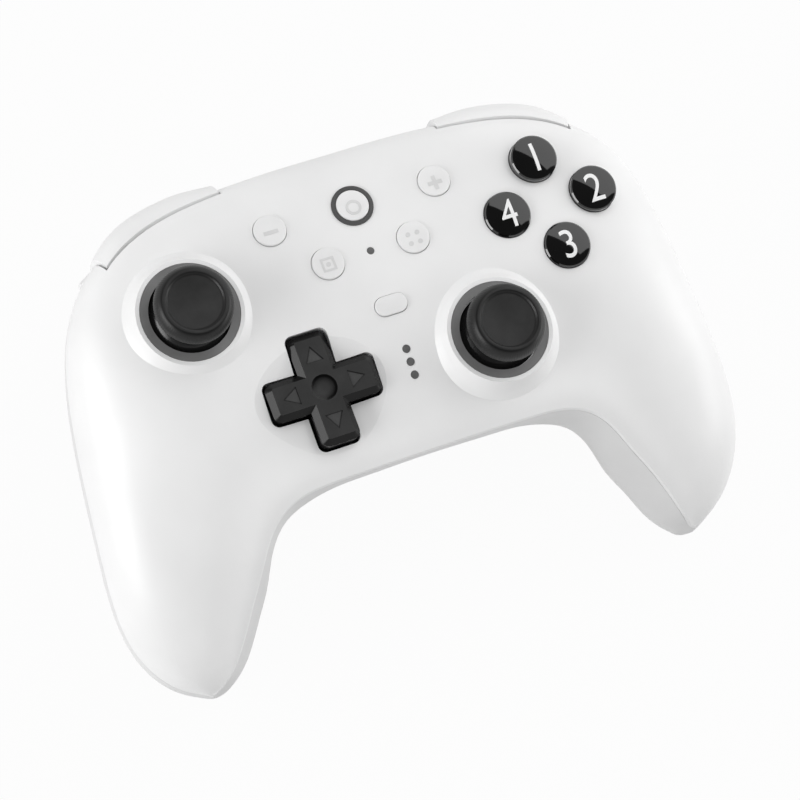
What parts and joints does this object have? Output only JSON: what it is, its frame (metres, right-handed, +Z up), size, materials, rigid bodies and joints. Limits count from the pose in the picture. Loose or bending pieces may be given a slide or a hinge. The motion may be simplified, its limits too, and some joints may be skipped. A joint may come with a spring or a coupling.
{
  "type": "gamepad controller",
  "caption": "Two-handed wireless gamepad with twin sticks, a cross pad, domed face buttons, shoulder bumpers, pivoting triggers and a rear USB inlet.",
  "frame": {"origin": "centre of the footprint in X and Y, on the plane the pad rests on", "axes": "+X to the right-hand grip, +Y away from the player towards the bumpers and triggers, +Z up out of the button face"},
  "size_m": [0.1536, 0.1104, 0.0591],
  "materials": {
    "black_gloss": "polished",
    "black_rubber": "matte",
    "cell": "shrink wrap",
    "circuit_board": "solder mask",
    "clear_light": "frosted light guide",
    "dark_plastic": "fine grain",
    "grey_plastic": "fine grain",
    "silicone": "matte silicone",
    "steel": "plain",
    "white_button": "satin",
    "white_shell": "satin moulded plastic"
  },
  "bodies": {
    "body": {"front_shell": "white_shell", "rear_shell": "white_shell", "dpad_post": "dark_plastic", "dpad_membrane": "silicone", "face_button_membrane": "silicone", "home_ring": "grey_plastic", "button_switches": "steel", "status_light": "clear_light", "indicator_lights": "clear_light", "main_board": "circuit_board", "usb_port": "steel", "battery": "cell", "battery_tray": "dark_plastic", "bumper_switches": "dark_plastic", "board_screws": "steel", "case_screws": "steel", "left_bumper_pin": "steel", "left_trigger_pin": "steel", "left_trigger_spring": "steel", "left_rumble_motor": "steel", "left_stick_ring": "grey_plastic", "left_stick_housing": "steel", "right_bumper_pin": "steel", "right_trigger_pin": "steel", "right_trigger_spring": "steel", "right_rumble_motor": "steel", "right_stick_ring": "grey_plastic", "right_stick_housing": "steel"},
    "left_stick_outer": {"left_stick_outer_gimbal": "dark_plastic"},
    "left_stick_inner": {"left_stick_inner_gimbal": "dark_plastic"},
    "left_stick": {"left_stick_cap": "black_rubber", "left_stick_dome": "black_gloss", "left_stick_shaft": "dark_plastic"},
    "left_bumper": {"left_bumper": "white_shell"},
    "left_trigger": {"left_trigger": "white_shell"},
    "left_rumble_weight": {"left_rumble_weight": "steel"},
    "right_stick_outer": {"right_stick_outer_gimbal": "dark_plastic"},
    "right_stick_inner": {"right_stick_inner_gimbal": "dark_plastic"},
    "right_stick": {"right_stick_cap": "black_rubber", "right_stick_dome": "black_gloss", "right_stick_shaft": "dark_plastic"},
    "right_bumper": {"right_bumper": "white_shell"},
    "right_trigger": {"right_trigger": "white_shell"},
    "right_rumble_weight": {"right_rumble_weight": "steel"},
    "dpad_pivot": {"dpad_pivot": "dark_plastic"},
    "dpad": {"dpad_cross": "black_gloss"},
    "face_button_top": {"face_button_top": "black_gloss"},
    "face_button_right": {"face_button_right": "black_gloss"},
    "face_button_bottom": {"face_button_bottom": "black_gloss"},
    "face_button_left": {"face_button_left": "black_gloss"},
    "minus_button": {"minus_button": "white_button"},
    "plus_button": {"plus_button": "white_button"},
    "home_button": {"home_button": "white_button"},
    "capture_button": {"capture_button": "white_button"},
    "assist_button": {"assist_button": "white_button"},
    "mode_button": {"mode_button": "white_button"}
  },
  "joints": [
    {"name": "left_stick_pitch", "type": "hinge", "parent": "body", "child": "left_stick_outer", "pos_m": [-0.0436, 0.02261, 0.03943], "axis": [1, 0, 0], "range_deg": [-14, 14], "stiffness_Nm_per_rad": 0.03},
    {"name": "left_stick_roll", "type": "hinge", "parent": "left_stick_outer", "child": "left_stick_inner", "pos_m": [-0.0436, 0.02261, 0.03943], "axis": [0, 1, 0], "range_deg": [-14, 14], "stiffness_Nm_per_rad": 0.03},
    {"name": "left_stick_click", "type": "slide", "parent": "left_stick_inner", "child": "left_stick", "axis": [0, 0, -1], "range_m": [0, 0.0005], "stiffness_N_per_m": 3000, "springref_m": -0.0003},
    {"name": "left_bumper_press", "type": "hinge", "parent": "body", "child": "left_bumper", "pos_m": [-0.029, 0.04241, 0.02962], "axis": [0, 0, 1], "range_deg": [0, 1.4], "stiffness_Nm_per_rad": 1.5, "springref_deg": -0.57},
    {"name": "left_trigger_pull", "type": "hinge", "parent": "body", "child": "left_trigger", "pos_m": [-0.05, 0.03831, 0.02413], "axis": [-1, 0, 0], "range_deg": [0, 15], "stiffness_Nm_per_rad": 0.08, "springref_deg": -8.59},
    {"name": "left_rumble_spin", "type": "hinge", "parent": "body", "child": "left_rumble_weight", "pos_m": [-0.057, -0.01659, 0.02463], "axis": [0, 0, 1], "continuous": true},
    {"name": "right_stick_pitch", "type": "hinge", "parent": "body", "child": "right_stick_outer", "pos_m": [0.021, -0.00219, 0.03943], "axis": [1, 0, 0], "range_deg": [-14, 14], "stiffness_Nm_per_rad": 0.03},
    {"name": "right_stick_roll", "type": "hinge", "parent": "right_stick_outer", "child": "right_stick_inner", "pos_m": [0.021, -0.00219, 0.03943], "axis": [0, 1, 0], "range_deg": [-14, 14], "stiffness_Nm_per_rad": 0.03},
    {"name": "right_stick_click", "type": "slide", "parent": "right_stick_inner", "child": "right_stick", "axis": [0, 0, -1], "range_m": [0, 0.0005], "stiffness_N_per_m": 3000, "springref_m": -0.0003},
    {"name": "right_bumper_press", "type": "hinge", "parent": "body", "child": "right_bumper", "pos_m": [0.029, 0.04241, 0.02962], "axis": [0, 0, -1], "range_deg": [0, 1.4], "stiffness_Nm_per_rad": 1.5, "springref_deg": -0.57},
    {"name": "right_trigger_pull", "type": "hinge", "parent": "body", "child": "right_trigger", "pos_m": [0.05, 0.03831, 0.02413], "axis": [-1, 0, 0], "range_deg": [0, 15], "stiffness_Nm_per_rad": 0.08, "springref_deg": -8.59},
    {"name": "right_rumble_spin", "type": "hinge", "parent": "body", "child": "right_rumble_weight", "pos_m": [0.057, -0.01659, 0.02463], "axis": [0, 0, 1], "continuous": true},
    {"name": "dpad_pitch", "type": "hinge", "parent": "body", "child": "dpad_pivot", "pos_m": [-0.021, -0.00219, 0.04142], "axis": [1, 0, 0], "range_deg": [-2.8, 2.8], "stiffness_Nm_per_rad": 0.05},
    {"name": "dpad_roll", "type": "hinge", "parent": "dpad_pivot", "child": "dpad", "pos_m": [-0.021, -0.00219, 0.04142], "axis": [0, 1, 0], "range_deg": [-2.8, 2.8], "stiffness_Nm_per_rad": 0.05},
    {"name": "face_button_top_press", "type": "slide", "parent": "body", "child": "face_button_top", "axis": [0, 0, -1], "range_m": [0, 0.0015], "stiffness_N_per_m": 300, "springref_m": -0.001},
    {"name": "face_button_right_press", "type": "slide", "parent": "body", "child": "face_button_right", "axis": [0, 0, -1], "range_m": [0, 0.0015], "stiffness_N_per_m": 300, "springref_m": -0.001},
    {"name": "face_button_bottom_press", "type": "slide", "parent": "body", "child": "face_button_bottom", "axis": [0, 0, -1], "range_m": [0, 0.0015], "stiffness_N_per_m": 300, "springref_m": -0.001},
    {"name": "face_button_left_press", "type": "slide", "parent": "body", "child": "face_button_left", "axis": [0, 0, -1], "range_m": [0, 0.0015], "stiffness_N_per_m": 300, "springref_m": -0.001},
    {"name": "minus_button_press", "type": "slide", "parent": "body", "child": "minus_button", "axis": [0.006, -0.121, -0.9926], "range_m": [0, 0.0006], "stiffness_N_per_m": 800, "springref_m": -0.0005},
    {"name": "plus_button_press", "type": "slide", "parent": "body", "child": "plus_button", "axis": [-0.006, -0.121, -0.9926], "range_m": [0, 0.0006], "stiffness_N_per_m": 800, "springref_m": -0.0005},
    {"name": "home_button_press", "type": "slide", "parent": "body", "child": "home_button", "axis": [0, -0.118, -0.993], "range_m": [0, 0.0006], "stiffness_N_per_m": 800, "springref_m": -0.0005},
    {"name": "capture_button_press", "type": "slide", "parent": "body", "child": "capture_button", "axis": [-0.011, -0.058, -0.9983], "range_m": [0, 0.0006], "stiffness_N_per_m": 800, "springref_m": -0.0005},
    {"name": "assist_button_press", "type": "slide", "parent": "body", "child": "assist_button", "axis": [0.011, -0.058, -0.9983], "range_m": [0, 0.0006], "stiffness_N_per_m": 800, "springref_m": -0.0005},
    {"name": "mode_button_press", "type": "slide", "parent": "body", "child": "mode_button", "axis": [0, 0.053, -0.9986], "range_m": [0, 0.0006], "stiffness_N_per_m": 800, "springref_m": -0.0005}
  ]
}
